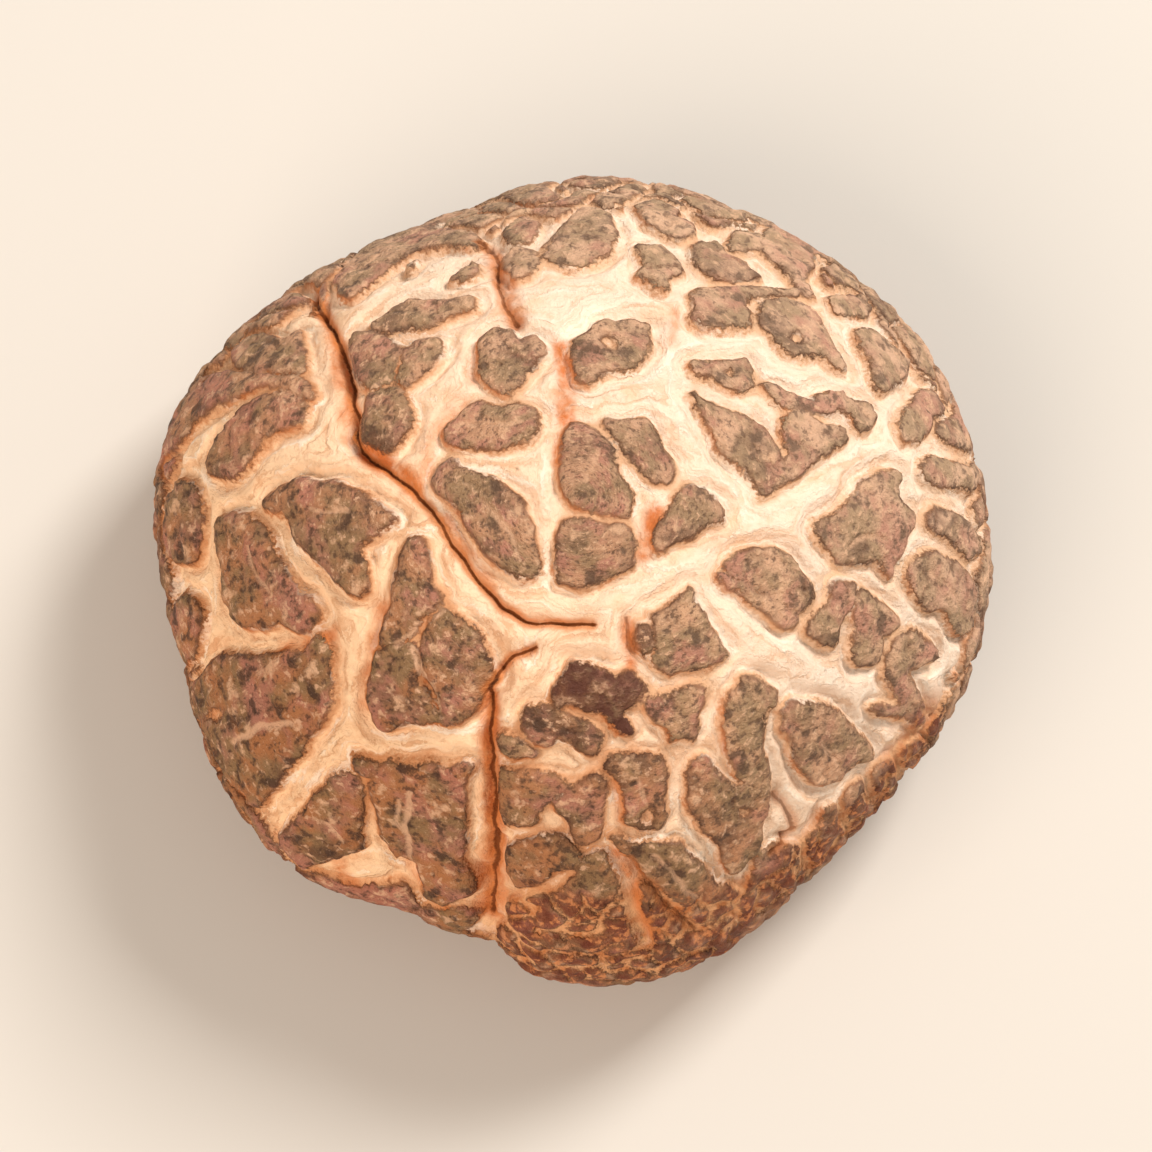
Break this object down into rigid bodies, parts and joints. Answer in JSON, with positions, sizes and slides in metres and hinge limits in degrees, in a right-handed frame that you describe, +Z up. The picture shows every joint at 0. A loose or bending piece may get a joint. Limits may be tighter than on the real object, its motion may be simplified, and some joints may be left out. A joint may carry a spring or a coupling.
{
  "type": "dried flower shiitake mushroom",
  "caption": "Dried flower shiitake with a thick domed cap cracked into brown plates over cream flesh, an inrolled margin, tan gills and a short stem cut flat.",
  "frame": {"origin": "centre of the stem's cut end, which stands on the surface", "axes": "+Z up along the stem and out of the top of the cap, +X to the right and -Y towards the margin's split"},
  "size_m": [0.0454, 0.0446, 0.024],
  "materials": {
    "cap_skin_and_flesh": "dry matt brown skin cracked open over cream flesh",
    "dried_gills": "dry matt tan plates",
    "dried_stem": "dry matt fibrous, paler on the cut"
  },
  "bodies": {
    "root": {"cap": "cap_skin_and_flesh", "gills": "dried_gills", "stem": "dried_stem"}
  },
  "joints": []
}
